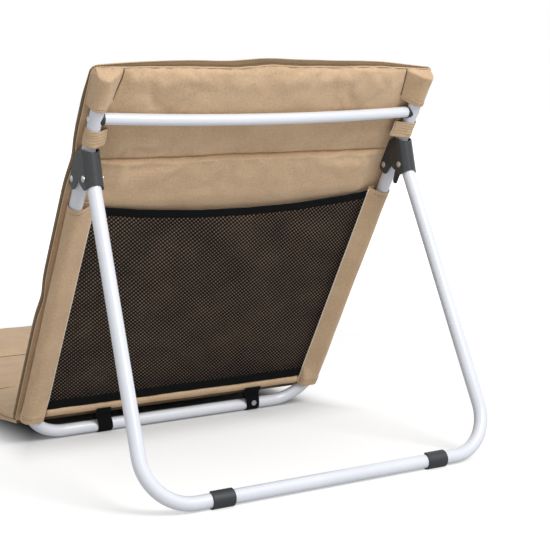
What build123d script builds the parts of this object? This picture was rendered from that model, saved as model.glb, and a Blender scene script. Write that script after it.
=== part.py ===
"""Folding floor chair: a padded mat on a bent-tube back frame with a folding rear leg.

Frame of the model: +Z up, the sitter looks along -Y, +X is the sitter's left.
The origin is under the middle of the whole chair, on the floor.
All sizes are in millimetres and degrees.
"""

from build123d import *
import math
import os

os.makedirs("parts", exist_ok=True)

# ---------------------------------------------------------------- driving dimensions
# Steel tubes
tube_r = 9.5                 # back frame and rear leg are 19 mm tube
tube_wall = 1.2
bend_r = 65.0                # both frames are bent on the same tool
half_span = 252.5            # centre plane to a side tube's centre line
back_angle = 56.4            # lean of the back above the floor
side_tube_top = 637.0        # cut end of the side tubes, measured up the back
bar_lift = 1.8               # straps and foot clips keep both bars off the floor

# Cross bar
cross_bar_r = 8.0
cross_bar_s = 576.0          # height up the back
cross_bar_end = 242.0
cross_bar_bow = 10.0         # the bar bows away from the sitter
bolt_r = 2.0

# Rear leg
pivot_s = 502.0              # leg pivot, up the back
pivot_f = -29.0              # and behind the side tube's centre line
leg_reach = 477.0            # floor distance between the two bars
leg_half_floor = 271.3       # the legs splay a little towards the floor
leg_stub = 5.5               # tube left above the pivot

# Hinge bracket
rivet_r = 2.5
front_rivet_s = 480.0
front_rivet_f = 3.0
plate_t = 1.5
plate_gap = 11.6             # tube centre plane to a plate's inner face
running_gap = 0.05           # radial clearance of the leg on its rivet

# Padded mat
pad_rear_f = 10.9            # back face of the back pad, in front of the tube plane
back_crown_f = 44.0          # fullest point of the back pad
back_valley_f = 33.0         # at a sewn cross seam
back_edge_f = 22.0
back_top_f = 30.0            # the top edge is thinner in the middle
back_top_edge_f = 14.0       # and thin at the corners
pad_half = 268.0             # widest half width of the mat
drawn_in = 5.0               # the sides pull in by this much at each seam
back_seams = (24.0, 264.0, 503.0, 646.0)
seat_seams = (-5.0, -300.0, -597.0, -895.0)   # behind which bar distance each pad ends
seat_crown = 36.0
seat_valley = 24.0
seat_edge = 15.0
seat_end = 34.0              # the front end is boxed, not pinched
fold_gap = 0.3               # half the slack at the folding seam
seat_fold = (-33.1, 45.5)    # crease where the seat folds up, behind the bar and above the floor

# Fabric sleeves, pockets and mesh
sleeve_r = 10.9
sleeve_bore_r = 9.6
sleeve_inner_x = 237.0
sleeve_outer_x = 254.0
sleeve_low_s = 31.0
sleeve_high_s = 436.0
mesh_half = sleeve_inner_x - sleeve_r
mesh_low_s = 52.0
mesh_side_s = 432.0
mesh_sag = 18.0
mesh_t = 1.2

# Feet and straps
clip_x = 168.0
clip_w = 32.0
clip_r = 11.8
strap_w = 27.0
strap_xs = {"left": 118.0, "right": -146.0}

# ---------------------------------------------------------------- derived places
lean = math.radians(back_angle)
up_y = math.cos(lean)
up_z = math.sin(lean)
bar_z = tube_r + bar_lift
rear_end = leg_reach + clip_r
bar_y = -(rear_end + seat_seams[-1]) / 2      # puts the origin under the middle
sides = {"left": 1, "right": -1}

# Local x is the chair's X, local y runs up the back, local z points at the sitter.
back_plane = Plane(origin=(0, bar_y, bar_z), x_dir=(1, 0, 0), z_dir=(0, -up_z, up_y))


def side_plane(x):
    """Side view plane: local x runs up the back, local y points at the sitter."""
    return Plane(origin=(x, bar_y, bar_z), x_dir=(0, up_y, up_z), z_dir=(1, 0, 0))


def level_plane(s):
    """Plane square to the back at height s: local x is X, local y points at the sitter."""
    origin = (0, bar_y + s * up_y, bar_z + s * up_z)
    return Plane(origin=origin, x_dir=(1, 0, 0), z_dir=(0, -up_y, -up_z))


def back_point(x, s, f):
    """Point at height s up the back and f towards the sitter."""
    return Vector(x, bar_y + s * up_y - f * up_z, bar_z + s * up_z + f * up_y)


# The leg's own plane: local x is X, local y runs down the leg from its pivot.
pivot = back_point(0, pivot_s, pivot_f)
leg_run = bar_y + leg_reach - pivot.Y
leg_drop = pivot.Z - bar_z
leg_length = math.hypot(leg_run, leg_drop)
leg_y = leg_run / leg_length
leg_z = -leg_drop / leg_length
leg_plane = Plane(origin=pivot, x_dir=(1, 0, 0), z_dir=(0, -leg_z, leg_y))
leg_splay = (leg_half_floor - half_span) / leg_length
leg_top_x = half_span - leg_stub * leg_splay

# ---------------------------------------------------------------- back frame
# One tube bent into a U: two side tubes that stand up the back and the bar on the floor.
with BuildPart() as back_frame_tube:
    with BuildLine(back_plane) as back_path:
        FilletPolyline(
            (-half_span, side_tube_top),
            (-half_span, 0),
            (half_span, 0),
            (half_span, side_tube_top),
            radius=bend_r,
        )
    with BuildSketch(Plane(origin=back_path.line @ 0, z_dir=back_path.line % 0)):
        Circle(tube_r)
        Circle(tube_r - tube_wall, mode=Mode.SUBTRACT)
    sweep(path=back_path.line)
    # Cross holes for the bracket rivets and the cross bar's bolts.
    with BuildSketch(side_plane(0)):
        with Locations((front_rivet_s, front_rivet_f)):
            Circle(rivet_r)
        with Locations((cross_bar_s, 0)):
            Circle(bolt_r)
    extrude(amount=half_span + 2 * tube_r, both=True, mode=Mode.SUBTRACT)
back_frame_tube.part.label = "back_frame_tube"
export_step(back_frame_tube.part, "parts/back_frame_tube.step")

plug_head = 3.0
plug_stem = 14.0
for side, sign in sides.items():
    # Moulded plug in the open top end of each side tube.
    with BuildPart() as tube_plug:
        with BuildSketch(level_plane(side_tube_top)):
            with Locations((sign * half_span, 0)):
                Circle(tube_r)
        extrude(amount=-plug_head)
        dome = tube_plug.edges().group_by(Axis((0, 0, 0), (0, up_y, up_z)))[-1]
        chamfer(dome, plug_head - 0.8)
        with BuildSketch(level_plane(side_tube_top)):
            with Locations((sign * half_span, 0)):
                Circle(tube_r - tube_wall)
        extrude(amount=plug_stem)
    tube_plug.part.label = f"tube_plug_{side}"
    export_step(tube_plug.part, f"parts/tube_plug_{side}.step")

# ---------------------------------------------------------------- cross bar
over_run = 6.0               # bar swept a little long, then cut square to the saddles
over_rise = cross_bar_bow * ((1 + over_run / cross_bar_end) ** 2 - 1)
with BuildPart() as cross_bar:
    with BuildLine(level_plane(cross_bar_s)) as bow:
        ThreePointArc(
            (-cross_bar_end - over_run, over_rise),
            (0, -cross_bar_bow),
            (cross_bar_end + over_run, over_rise),
        )
    with BuildSketch(Plane(origin=bow.line @ 0, z_dir=bow.line % 0)):
        Circle(cross_bar_r)
        Circle(cross_bar_r - tube_wall, mode=Mode.SUBTRACT)
    sweep(path=bow.line)
    split(bisect_by=Plane.YZ.offset(cross_bar_end), keep=Keep.BOTTOM)
    split(bisect_by=Plane.YZ.offset(-cross_bar_end), keep=Keep.TOP)
cross_bar.part.label = "cross_bar"
export_step(cross_bar.part, "parts/cross_bar.step")

saddle_r = 8.8
for side, sign in sides.items():
    # Black saddle that beds the bar's flat end on the round side tube.
    with BuildPart() as saddle:
        with BuildSketch(side_plane(sign * cross_bar_end)):
            with Locations((cross_bar_s, 0)):
                Circle(saddle_r)
                Circle(bolt_r, mode=Mode.SUBTRACT)
        extrude(amount=sign * (half_span - cross_bar_end))
        with BuildSketch(level_plane(cross_bar_s)):
            with Locations((sign * half_span, 0)):
                Circle(tube_r)
        extrude(amount=2 * saddle_r, both=True, mode=Mode.SUBTRACT)
    saddle.part.label = f"cross_bar_saddle_{side}"
    export_step(saddle.part, f"parts/cross_bar_saddle_{side}.step")

insert_r = 5.0
insert_length = 16.0
bolt_head_r = 3.4
bolt_head = 1.4
bolt_length = half_span + tube_r - cross_bar_end + insert_length
with BuildPart() as cross_bar_bolts:
    for sign in sides.values():
        with BuildSketch(side_plane(sign * (half_span + tube_r))):
            with Locations((cross_bar_s, 0)):
                Circle(bolt_r)
        extrude(amount=-sign * bolt_length)
        with BuildSketch(side_plane(sign * (half_span + tube_r))):
            with Locations((cross_bar_s, 0)):
                Circle(bolt_head_r)
        extrude(amount=sign * bolt_head)
cross_bar_bolts.part.label = "cross_bar_bolts"
export_step(cross_bar_bolts.part, "parts/cross_bar_bolts.step")

# Threaded inserts inside the bar's ends.
with BuildPart() as cross_bar_inserts:
    for sign in sides.values():
        with BuildSketch(side_plane(sign * cross_bar_end)):
            with Locations((cross_bar_s, 0)):
                Circle(insert_r)
                Circle(bolt_r, mode=Mode.SUBTRACT)
        extrude(amount=-sign * insert_length)
cross_bar_inserts.part.label = "cross_bar_inserts"
export_step(cross_bar_inserts.part, "parts/cross_bar_inserts.step")

# ---------------------------------------------------------------- hinge brackets
# Each bracket is a pressed channel: two cheek plates and a half-round web behind the leg.
# The web slants between the side tube and the opened leg, and the leg rests against it.
web_top = (523.8, -7.8)
web_low = (494.8, -37.8)
web_length = math.dist(web_top, web_low)
web_s = (web_low[0] - web_top[0]) / web_length
web_f = (web_low[1] - web_top[1]) / web_length
web_out_r = plate_gap + plate_t
web_axis = Vector(0, web_s * up_y - web_f * up_z, web_s * up_z + web_f * up_y)
cheek_outline = (
    (519.0, 10.7),           # front, at the top, against the pad
    (531.0, -2.0),
    (534.0, -17.0),          # top of the web
    (505.5, -47.0),          # bottom of the web
    (489.0, -39.5),          # rear lobe, under the leg pivot
    (489.5, -14.0),          # notch between the lobes
    (468.5, -9.0),           # front lobe, on the side tube
    (468.5, 10.7),
)
cheek_radii = (6.0, 5.0, 1.0, 1.0, 8.0, 3.0, 8.0, 8.0)

# Looking along the web: local x is X and local y points out of the channel's open front.
channel_plane = Plane(origin=back_point(0, *web_top), x_dir=(1, 0, 0), z_dir=web_axis)

for side, sign in sides.items():
    with BuildPart() as hinge_bracket:
        with BuildSketch(channel_plane):
            with Locations((sign * half_span, 0)):
                Circle(web_out_r)
                Rectangle(2 * web_out_r, 70, align=(Align.CENTER, Align.MIN))
                Circle(plate_gap, mode=Mode.SUBTRACT)
                Rectangle(2 * plate_gap, 70, align=(Align.CENTER, Align.MIN), mode=Mode.SUBTRACT)
        extrude(amount=80, both=True)
        with BuildSketch(side_plane(sign * half_span)):
            with BuildLine():
                FilletPolyline(*cheek_outline, radius=cheek_radii, close=True)
            make_face()
        extrude(amount=2 * web_out_r, both=True, mode=Mode.INTERSECT)
        with BuildSketch(side_plane(sign * half_span)):
            with Locations((front_rivet_s, front_rivet_f), (pivot_s, pivot_f)):
                Circle(rivet_r)
        extrude(amount=2 * web_out_r, both=True, mode=Mode.SUBTRACT)
    hinge_bracket.part.label = f"hinge_bracket_{side}"
    export_step(hinge_bracket.part, f"parts/hinge_bracket_{side}.step")

rivet_head_r = 4.6
rivet_head = 2.0
rivet_places = {
    "bracket_rivets": (front_rivet_s, front_rivet_f),
    "pivot_rivets": (pivot_s, pivot_f),
}
for rivet_name, rivet_place in rivet_places.items():
    # Domed tubular rivets through both cheeks, one in each bracket.
    with BuildPart() as rivets:
        for sign in sides.values():
            with BuildSketch(side_plane(sign * half_span)):
                with Locations(rivet_place):
                    Circle(rivet_r)
            extrude(amount=web_out_r, both=True)
            for face_x in (web_out_r, -web_out_r):
                with BuildSketch(side_plane(sign * half_span + face_x)):
                    with Locations(rivet_place):
                        Circle(rivet_head_r)
                extrude(amount=math.copysign(rivet_head, face_x))
        rims = rivets.edges().filter_by(GeomType.CIRCLE)
        outer_rims = [e for e in rims if abs(e.radius - rivet_head_r) < 0.01]
        far = web_out_r + rivet_head
        ends = [e for e in outer_rims if abs(abs(abs(e.center().X) - half_span) - far) < 0.01]
        chamfer(ends, rivet_head - 0.8, rivet_head)
    rivets.part.label = rivet_name
    export_step(rivets.part, f"parts/{rivet_name}.step")

# Washers between the side tube and the cheeks, so the rivet can't pinch the plates in.
washer_r = 6.0
with BuildPart() as bracket_spacers:
    for sign in sides.values():
        for face_x in (plate_gap, -plate_gap):
            with BuildSketch(side_plane(sign * half_span + face_x)):
                with Locations((front_rivet_s, front_rivet_f)):
                    Circle(washer_r)
                    Circle(rivet_r, mode=Mode.SUBTRACT)
            extrude(amount=-math.copysign(plate_gap - tube_r, face_x))
bracket_spacers.part.label = "bracket_spacers"
export_step(bracket_spacers.part, "parts/bracket_spacers.step")

# Thin washers outside the leg, and on the inside a moulded keeper whose tongue hangs down
# beside the place where the folded leg lies.
leg_side_gap = 0.4
pivot_washer_t = plate_gap - tube_r - leg_side_gap
with BuildPart() as pivot_washers:
    for sign in sides.values():
        with BuildSketch(side_plane(sign * (half_span + plate_gap))):
            with Locations((pivot_s, pivot_f)):
                Circle(washer_r)
                Circle(rivet_r, mode=Mode.SUBTRACT)
        extrude(amount=-sign * pivot_washer_t)
    # Trimmed where the rounded web comes close.
    with BuildSketch(channel_plane):
        with Locations((half_span, 0), (-half_span, 0)):
            Circle(plate_gap)
            Rectangle(2 * plate_gap, 70, align=(Align.CENTER, Align.MIN))
    extrude(amount=80, both=True, mode=Mode.INTERSECT)
pivot_washers.part.label = "pivot_washers"
export_step(pivot_washers.part, "parts/pivot_washers.step")

tongue_half = 4.5
tongue_tip = (475.0, -32.0)
keeper_ring_r = 7.5
for side, sign in sides.items():
    with BuildPart() as pivot_keeper:
        with BuildSketch(side_plane(sign * (half_span - plate_gap))):
            with Locations((pivot_s, pivot_f)):
                Circle(keeper_ring_r)
            with Locations(tongue_tip):
                Circle(tongue_half)
            make_hull()
            with Locations((pivot_s, pivot_f)):
                Circle(rivet_r, mode=Mode.SUBTRACT)
        extrude(amount=sign * pivot_washer_t)
        with BuildSketch(channel_plane):
            with Locations((sign * half_span, 0)):
                Circle(plate_gap)
                Rectangle(2 * plate_gap, 70, align=(Align.CENTER, Align.MIN))
        extrude(amount=80, both=True, mode=Mode.INTERSECT)
    pivot_keeper.part.label = f"pivot_keeper_{side}"
    export_step(pivot_keeper.part, f"parts/pivot_keeper_{side}.step")

# ---------------------------------------------------------------- rear leg
with BuildPart() as rear_leg_tube:
    with BuildLine(leg_plane) as leg_path:
        FilletPolyline(
            (-leg_top_x, -leg_stub),
            (-leg_half_floor, leg_length),
            (leg_half_floor, leg_length),
            (leg_top_x, -leg_stub),
            radius=bend_r,
        )
    with BuildSketch(Plane(origin=leg_path.line @ 0, z_dir=leg_path.line % 0)):
        Circle(tube_r)
        Circle(tube_r - tube_wall, mode=Mode.SUBTRACT)
    sweep(path=leg_path.line)
    with BuildSketch(side_plane(0)):
        with Locations((pivot_s, pivot_f)):
            Circle(rivet_r + 0.5)
    extrude(amount=half_span + 2 * tube_r, both=True, mode=Mode.SUBTRACT)
rear_leg_tube.part.label = "rear_leg_tube"
export_step(rear_leg_tube.part, "parts/rear_leg_tube.step")

leg_plug_head = 1.5
leg_plug_stem = 20.0
leg_ends = {"left": leg_path.line @ 1, "right": leg_path.line @ 0}
leg_outs = {"left": leg_path.line % 1, "right": (leg_path.line % 0) * -1}
for side, sign in sides.items():
    # Nylon plug that closes the leg's top and is the bush its rivet turns in.
    end_plane = Plane(origin=leg_ends[side], z_dir=leg_outs[side])
    with BuildPart() as leg_end_plug:
        with BuildSketch(end_plane):
            Circle(tube_r)
        extrude(amount=leg_plug_head)
        chamfer(leg_end_plug.edges().group_by(Axis(leg_ends[side], leg_outs[side]))[-1], 0.8)
        with BuildSketch(end_plane):
            Circle(tube_r - tube_wall)
        extrude(amount=-leg_plug_stem)
        with BuildSketch(side_plane(sign * half_span)):
            with Locations((pivot_s, pivot_f)):
                Circle(rivet_r + running_gap)
        extrude(amount=2 * tube_r, both=True, mode=Mode.SUBTRACT)
    leg_end_plug.part.label = f"leg_end_plug_{side}"
    export_step(leg_end_plug.part, f"parts/leg_end_plug_{side}.step")

clip_mouth = 9.0
foot_y = bar_y + leg_reach
for side, sign in sides.items():
    # Snap-on foot: an open ring with a flat sole, its mouth turned up and forwards.
    foot_plane = Plane(
        origin=(sign * clip_x, foot_y, bar_z), x_dir=(0, -up_y, up_z), z_dir=(1, 0, 0)
    )
    with BuildPart() as foot_clip:
        with BuildSketch(foot_plane):
            Circle(clip_r)
            Circle(tube_r, mode=Mode.SUBTRACT)
            Rectangle(2 * clip_r, clip_mouth, align=(Align.MIN, Align.CENTER), mode=Mode.SUBTRACT)
        extrude(amount=clip_w / 2, both=True)
        ends = foot_clip.faces().filter_by(Axis.X)
        rim = [e for e in ends.edges().filter_by(GeomType.CIRCLE) if e.radius > clip_r - 0.1]
        chamfer(rim, 0.7)
        split(bisect_by=Plane.XY, keep=Keep.TOP)
    foot_clip.part.label = f"foot_clip_{side}"
    export_step(foot_clip.part, f"parts/foot_clip_{side}.step")

# ---------------------------------------------------------------- fabric round the tubes
for side, sign in sides.items():
    # Long sleeve sewn to the back of the mat; the side tube slides down through it.
    with BuildPart() as sleeve:
        with BuildSketch(level_plane(sleeve_high_s)):
            with Locations((sign * sleeve_inner_x, 0), (sign * sleeve_outer_x, 0)):
                Circle(sleeve_r)
            make_hull()
        extrude(amount=sleeve_high_s - sleeve_low_s)
        with BuildSketch(level_plane(sleeve_high_s)):
            with Locations((sign * sleeve_inner_x, 0), (sign * sleeve_outer_x, 0)):
                Circle(sleeve_bore_r)
            make_hull()
        extrude(amount=sleeve_high_s - sleeve_low_s, mode=Mode.SUBTRACT)
    sleeve.part.label = f"sleeve_{side}"
    export_step(sleeve.part, f"parts/sleeve_{side}.step")

loop_low_s = 535.0
loop_high_s = 562.0
loop_inner_x = 245.5
for side, sign in sides.items():
    # Short loop between the bracket and the cross bar.
    with BuildPart() as tube_loop:
        with BuildSketch(level_plane(loop_high_s)):
            with Locations((sign * loop_inner_x, 0), (sign * sleeve_outer_x, 0)):
                Circle(sleeve_r)
            make_hull()
            with Locations((sign * half_span, 0)):
                Circle(sleeve_bore_r, mode=Mode.SUBTRACT)
        extrude(amount=loop_high_s - loop_low_s)
    tube_loop.part.label = f"tube_loop_{side}"
    export_step(tube_loop.part, f"parts/tube_loop_{side}.step")

pocket_low_s = 588.0
pocket_high_s = back_seams[-1]
pocket_w = 36.0
pocket_x = 248.5
for side, sign in sides.items():
    # Blind pocket over the tube's top end, which hangs the mat on the frame.
    with BuildPart() as tube_pocket:
        with BuildSketch(level_plane(pocket_high_s)):
            with Locations((sign * pocket_x, 0)):
                RectangleRounded(pocket_w, 2 * sleeve_r, 7.0)
        extrude(amount=pocket_high_s - pocket_low_s)
        with BuildSketch(level_plane(pocket_low_s)):
            with Locations((sign * half_span, 0)):
                Circle(sleeve_bore_r)
        extrude(amount=-(side_tube_top + plug_head + 0.3 - pocket_low_s), mode=Mode.SUBTRACT)
    tube_pocket.part.label = f"tube_pocket_{side}"
    export_step(tube_pocket.part, f"parts/tube_pocket_{side}.step")

# ---------------------------------------------------------------- mesh pocket on the back
def mesh_outline(low, side_high, sag):
    """Closed outline between the sleeves whose top edge sags in the middle."""
    with BuildSketch(back_plane) as outline:
        with BuildLine():
            Polyline((-mesh_half, side_high), (-mesh_half, low), (mesh_half, low), (mesh_half, side_high))
            ThreePointArc((mesh_half, side_high), (0, side_high - sag), (-mesh_half, side_high))
        make_face()
    return outline.sketch


# The fine knit is drawn as a net of wide diamond gaps: two grids, one set between the other.
net_columns = 13
net_rows = 10
net_margin = 16.0
net_strand = 5.0
net_w = 2 * (mesh_half - net_margin)
net_h = mesh_side_s - mesh_sag - mesh_low_s - 2 * net_margin
pitch_x = net_w / net_columns
pitch_y = net_h / net_rows
gap_half_x = pitch_x / 2 - net_strand / 2
gap_half_y = pitch_y / 2 - net_strand / 2
net_middle = mesh_low_s + net_margin + net_h / 2
with BuildPart() as mesh_pocket:
    extrude(to_extrude=mesh_outline(mesh_low_s, mesh_side_s, mesh_sag), amount=mesh_t / 2, both=True)
    with BuildSketch(back_plane):
        for columns, rows in ((net_columns, net_rows), (net_columns - 1, net_rows - 1)):
            with Locations((0, net_middle)):
                with GridLocations(pitch_x, pitch_y, columns, rows):
                    Polygon(
                        (gap_half_x, 0), (0, gap_half_y), (-gap_half_x, 0), (0, -gap_half_y), align=None
                    )
    extrude(amount=mesh_t, both=True, mode=Mode.SUBTRACT)
mesh_pocket.part.label = "mesh_pocket"
export_step(mesh_pocket.part, "parts/mesh_pocket.step")

binding_w = 12.0
low_binding_w = 18.0
binding_over = 2.0
binding_half_t = 1.7
binding_bands = {
    "pocket_binding_top": (mesh_side_s - binding_w, mesh_side_s + binding_over, mesh_sag, mesh_sag),
    "pocket_binding_bottom": (mesh_low_s - binding_over, mesh_low_s - binding_over + low_binding_w, 0.0, 0.0),
}
for binding_name, (low, high, low_sag, high_sag) in binding_bands.items():
    # Woven tape folded over the cut edge of the mesh.
    with BuildPart() as binding:
        with BuildSketch(back_plane):
            with BuildLine():
                if high_sag:
                    ThreePointArc((-mesh_half, low), (0, low - low_sag), (mesh_half, low))
                    Line((mesh_half, low), (mesh_half, high))
                    ThreePointArc((mesh_half, high), (0, high - high_sag), (-mesh_half, high))
                    Line((-mesh_half, high), (-mesh_half, low))
                else:
                    Polyline(
                        (-mesh_half, low), (mesh_half, low), (mesh_half, high), (-mesh_half, high), close=True
                    )
            make_face()
        extrude(amount=binding_half_t, both=True)
        extrude(
            to_extrude=mesh_outline(mesh_low_s, mesh_side_s, mesh_sag),
            amount=mesh_t / 2,
            both=True,
            mode=Mode.SUBTRACT,
        )
    binding.part.label = binding_name
    export_step(binding.part, f"parts/{binding_name}.step")

# Padded hem that closes the mat's lower edge behind and holds the straps.
hem_low_s = 26.0
hem_high_s = mesh_low_s - binding_over
hem_half = mesh_half - 1.6
hem_rear_f = -3.0
with BuildPart() as lower_hem:
    with BuildSketch(side_plane(-hem_half)):
        with Locations(((hem_low_s + hem_high_s) / 2, (hem_rear_f + pad_rear_f) / 2)):
            RectangleRounded(hem_high_s - hem_low_s, pad_rear_f - hem_rear_f, 4.0)
    extrude(amount=2 * hem_half)
    # Room for the bends of the frame at both ends.
    with BuildSketch(Plane(origin=back_path.line @ 0, z_dir=back_path.line % 0)):
        Circle(sleeve_bore_r)
    sweep(path=back_path.line, mode=Mode.SUBTRACT)
lower_hem.part.label = "lower_hem"
export_step(lower_hem.part, "parts/lower_hem.step")

# ---------------------------------------------------------------- straps round the floor bar
strap_t = bar_lift
strap_top_s = hem_low_s
for side, x in strap_xs.items():
    # Webbing sewn to the hem, taken round the bar and back on itself.
    with BuildPart() as strap:
        with BuildSketch(side_plane(x)):
            Circle(tube_r + strap_t)
            with Locations((strap_top_s - strap_t, 0)):
                Circle(strap_t)
            make_hull()
        extrude(amount=strap_w / 2, both=True)
        with BuildSketch(side_plane(x)):
            Circle(tube_r)
            with Locations((strap_top_s - 2 * strap_t - 4, 0)):
                Circle(0.4)
            make_hull()
        extrude(amount=strap_w, both=True, mode=Mode.SUBTRACT)
    strap.part.label = f"strap_{side}"
    export_step(strap.part, f"parts/strap_{side}.step")

stud_r = 4.5
stud_h = 1.6
stud_face = {"left": 1, "right": -1}           # 1 on the strap's front run, -1 on its rear run
strap_slope = math.acos(tube_r / (strap_top_s - strap_t))
with BuildPart() as strap_studs:
    for side, x in strap_xs.items():
        out_s = math.cos(strap_slope)
        out_f = stud_face[side] * math.sin(strap_slope)
        out = Vector(0, out_s * up_y - out_f * up_z, out_s * up_z + out_f * up_y)
        along_s = abs(out_f)
        along_f = -stud_face[side] * out_s
        spot_s = out_s * (tube_r + strap_t) + along_s * stud_r
        spot_f = out_f * (tube_r + strap_t) + along_f * stud_r
        with BuildSketch(Plane(origin=back_point(x, spot_s, spot_f), x_dir=(1, 0, 0), z_dir=out)):
            Circle(stud_r)
        extrude(amount=stud_h)
strap_studs.part.label = "strap_studs"
export_step(strap_studs.part, "parts/strap_studs.step")


# ---------------------------------------------------------------- padded mat
def pad_section(plane, half, rear, edge, crown, roll=48.0):
    """One slice through a pad: flat back, short sides, and a front that rolls up to a crown."""
    shoulder = edge + 0.78 * (crown - edge)
    lift = edge + 0.52 * (crown - edge)
    with BuildSketch(plane) as slice_sketch:
        with BuildLine():
            Polyline((-half, edge), (-half, rear), (half, rear), (half, edge))
            ThreePointArc((half, edge), (half - roll * 0.42, lift), (half - roll, shoulder))
            ThreePointArc((half - roll, shoulder), (0, crown), (-half + roll, shoulder))
            ThreePointArc((-half + roll, shoulder), (-half + roll * 0.42, lift), (-half, edge))
        make_face()
    return slice_sketch.sketch


with BuildPart() as back_cushion:
    for low, high in zip(back_seams, back_seams[1:]):
        middle = (low + high) / 2
        full_low = pad_section(level_plane(middle), pad_half, pad_rear_f, back_edge_f, back_crown_f)
        start = pad_section(
            level_plane(low), pad_half - drawn_in, pad_rear_f, back_edge_f - 3, back_valley_f
        )
        end_edge, end_crown = back_edge_f - 3, back_valley_f
        if high == back_seams[-1]:
            end_edge, end_crown = back_top_edge_f, back_top_f
        end = pad_section(level_plane(high), pad_half - drawn_in, pad_rear_f, end_edge, end_crown)
        loft(sections=[start, full_low, end])
back_cushion.part.label = "back_cushion"
export_step(back_cushion.part, "parts/back_cushion.step")


def seat_plane(y):
    """Upright plane across the seat, y behind the floor bar: local y is up from the floor."""
    return Plane(origin=(0, bar_y + y, 0), x_dir=(1, 0, 0), z_dir=(0, -1, 0))


# (place, underside, side edge, crown, half width) of each slice, rear pad first.
# The rear pad's slices reach below the floor and are trimmed to its rising underside.
rear_pad_slices = (
    (seat_seams[0], -6.0, 38.5, 41.0, pad_half - drawn_in),
    (-60.0, -6.0, 38.5, 43.0, pad_half - 1),
    (-160.0, -6.0, 28.0, 41.0, pad_half),
    (seat_seams[1], -6.0, seat_edge - 4, seat_valley, pad_half - drawn_in),
)
rise_start = -292.0
rise_end = -40.0
rise_top = 29.0
rise_blend = 40.0


def plain_pad_slices(low, high, end_edge=seat_edge - 4, end_crown=seat_valley):
    """Slices of a pad that lies flat: full in the middle, pinched at its seams."""
    middle = (low + high) / 2
    return (
        (low, 0.0, seat_edge - 4, seat_valley, pad_half - drawn_in),
        (middle, 0.0, seat_edge, seat_crown, pad_half),
        (high, 0.0, end_edge, end_crown, pad_half - drawn_in),
    )


seat_pads = {
    "seat_pad_rear": rear_pad_slices,
    "seat_pad_middle": plain_pad_slices(seat_seams[1], seat_seams[2] + fold_gap),
    "seat_pad_front": plain_pad_slices(seat_seams[2] - fold_gap, seat_seams[3], seat_edge, seat_end),
}
for pad_name, slices in seat_pads.items():
    with BuildPart() as seat_pad:
        loft(sections=[pad_section(seat_plane(y), half, under, edge, crown)
                       for y, under, edge, crown, half in slices])
        if pad_name == "seat_pad_rear":
            with BuildSketch(Plane(origin=(0, bar_y, 0), x_dir=(0, 1, 0), z_dir=(1, 0, 0))):
                with BuildLine():
                    under_side = FilletPolyline(
                        (seat_seams[1] - 1, 0),
                        (rise_start, 0),
                        (rise_end, rise_top),
                        (seat_seams[0] + 1, rise_top + 1),
                        radius=(rise_blend, rise_blend),
                    )
                    Polyline(
                        under_side @ 1,
                        (seat_seams[0] + 1, 80),
                        (seat_seams[1] - 1, 80),
                        under_side @ 0,
                    )
                make_face()
            extrude(amount=2 * pad_half, both=True, mode=Mode.INTERSECT)
    seat_pad.part.label = pad_name
    export_step(seat_pad.part, f"parts/{pad_name}.step")

# ---------------------------------------------------------------- places the joints turn about
closed_turn = math.degrees(math.atan2(-up_z, -up_y) - math.atan2(leg_z, leg_y))
print("floor bar at y", round(bar_y, 3), "z", round(bar_z, 3))
print("leg pivot at y", round(pivot.Y, 3), "z", round(pivot.Z, 3), "closes at", round(closed_turn, 2))
print("seat fold at y", round(bar_y + seat_fold[0], 3), "z", seat_fold[1])
print("front pad fold at y", round(bar_y + seat_seams[2], 3), "z", seat_crown + 0.5)
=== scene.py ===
# %% [markdown]
# # A folding floor chair, seen from behind
# The solids of the chair are already built: tubes, brackets, clips and plain blocks for
# everything that is soft. This lesson loads them, keeps the metal and the plastic as they are,
# and sews a better mat, sleeves, straps and mesh in place of the plain blocks. Each soft piece
# rides on the same body as the block it stands for, so the chair still folds.

import math

import bpy
from mathutils import Matrix, Vector, noise


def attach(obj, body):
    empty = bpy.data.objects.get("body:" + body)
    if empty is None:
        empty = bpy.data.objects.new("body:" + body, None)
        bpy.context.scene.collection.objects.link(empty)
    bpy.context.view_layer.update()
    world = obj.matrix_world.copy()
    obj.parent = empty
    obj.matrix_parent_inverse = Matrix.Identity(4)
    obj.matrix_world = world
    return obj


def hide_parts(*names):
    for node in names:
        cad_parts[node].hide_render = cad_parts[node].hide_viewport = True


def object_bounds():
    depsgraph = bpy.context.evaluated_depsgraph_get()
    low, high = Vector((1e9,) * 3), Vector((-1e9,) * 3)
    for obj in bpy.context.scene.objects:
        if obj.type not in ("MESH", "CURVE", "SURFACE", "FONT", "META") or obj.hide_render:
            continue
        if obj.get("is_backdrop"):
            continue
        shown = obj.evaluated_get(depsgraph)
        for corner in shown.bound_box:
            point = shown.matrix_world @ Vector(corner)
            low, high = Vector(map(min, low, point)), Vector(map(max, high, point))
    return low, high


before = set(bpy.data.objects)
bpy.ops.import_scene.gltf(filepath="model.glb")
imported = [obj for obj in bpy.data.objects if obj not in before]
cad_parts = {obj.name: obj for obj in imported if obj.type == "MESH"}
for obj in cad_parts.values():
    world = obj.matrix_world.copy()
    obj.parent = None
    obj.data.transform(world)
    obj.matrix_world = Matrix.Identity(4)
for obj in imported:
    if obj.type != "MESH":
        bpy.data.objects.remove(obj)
cad_low, cad_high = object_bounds()
print("solids:", len(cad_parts), "box:", [round(v, 4) for v in cad_high - cad_low])

# %% [markdown]
# ## Where things are
# The chair was drawn in millimetres from a few sizes. The soft pieces need the same sizes again:
# where the floor bar is, how far the back leans, and how wide the mat is. Two small functions
# turn "so far across, so far up the back, so far towards the sitter" into a point in the scene.
# Working in the back's own slope is much easier than working in world heights.

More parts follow.
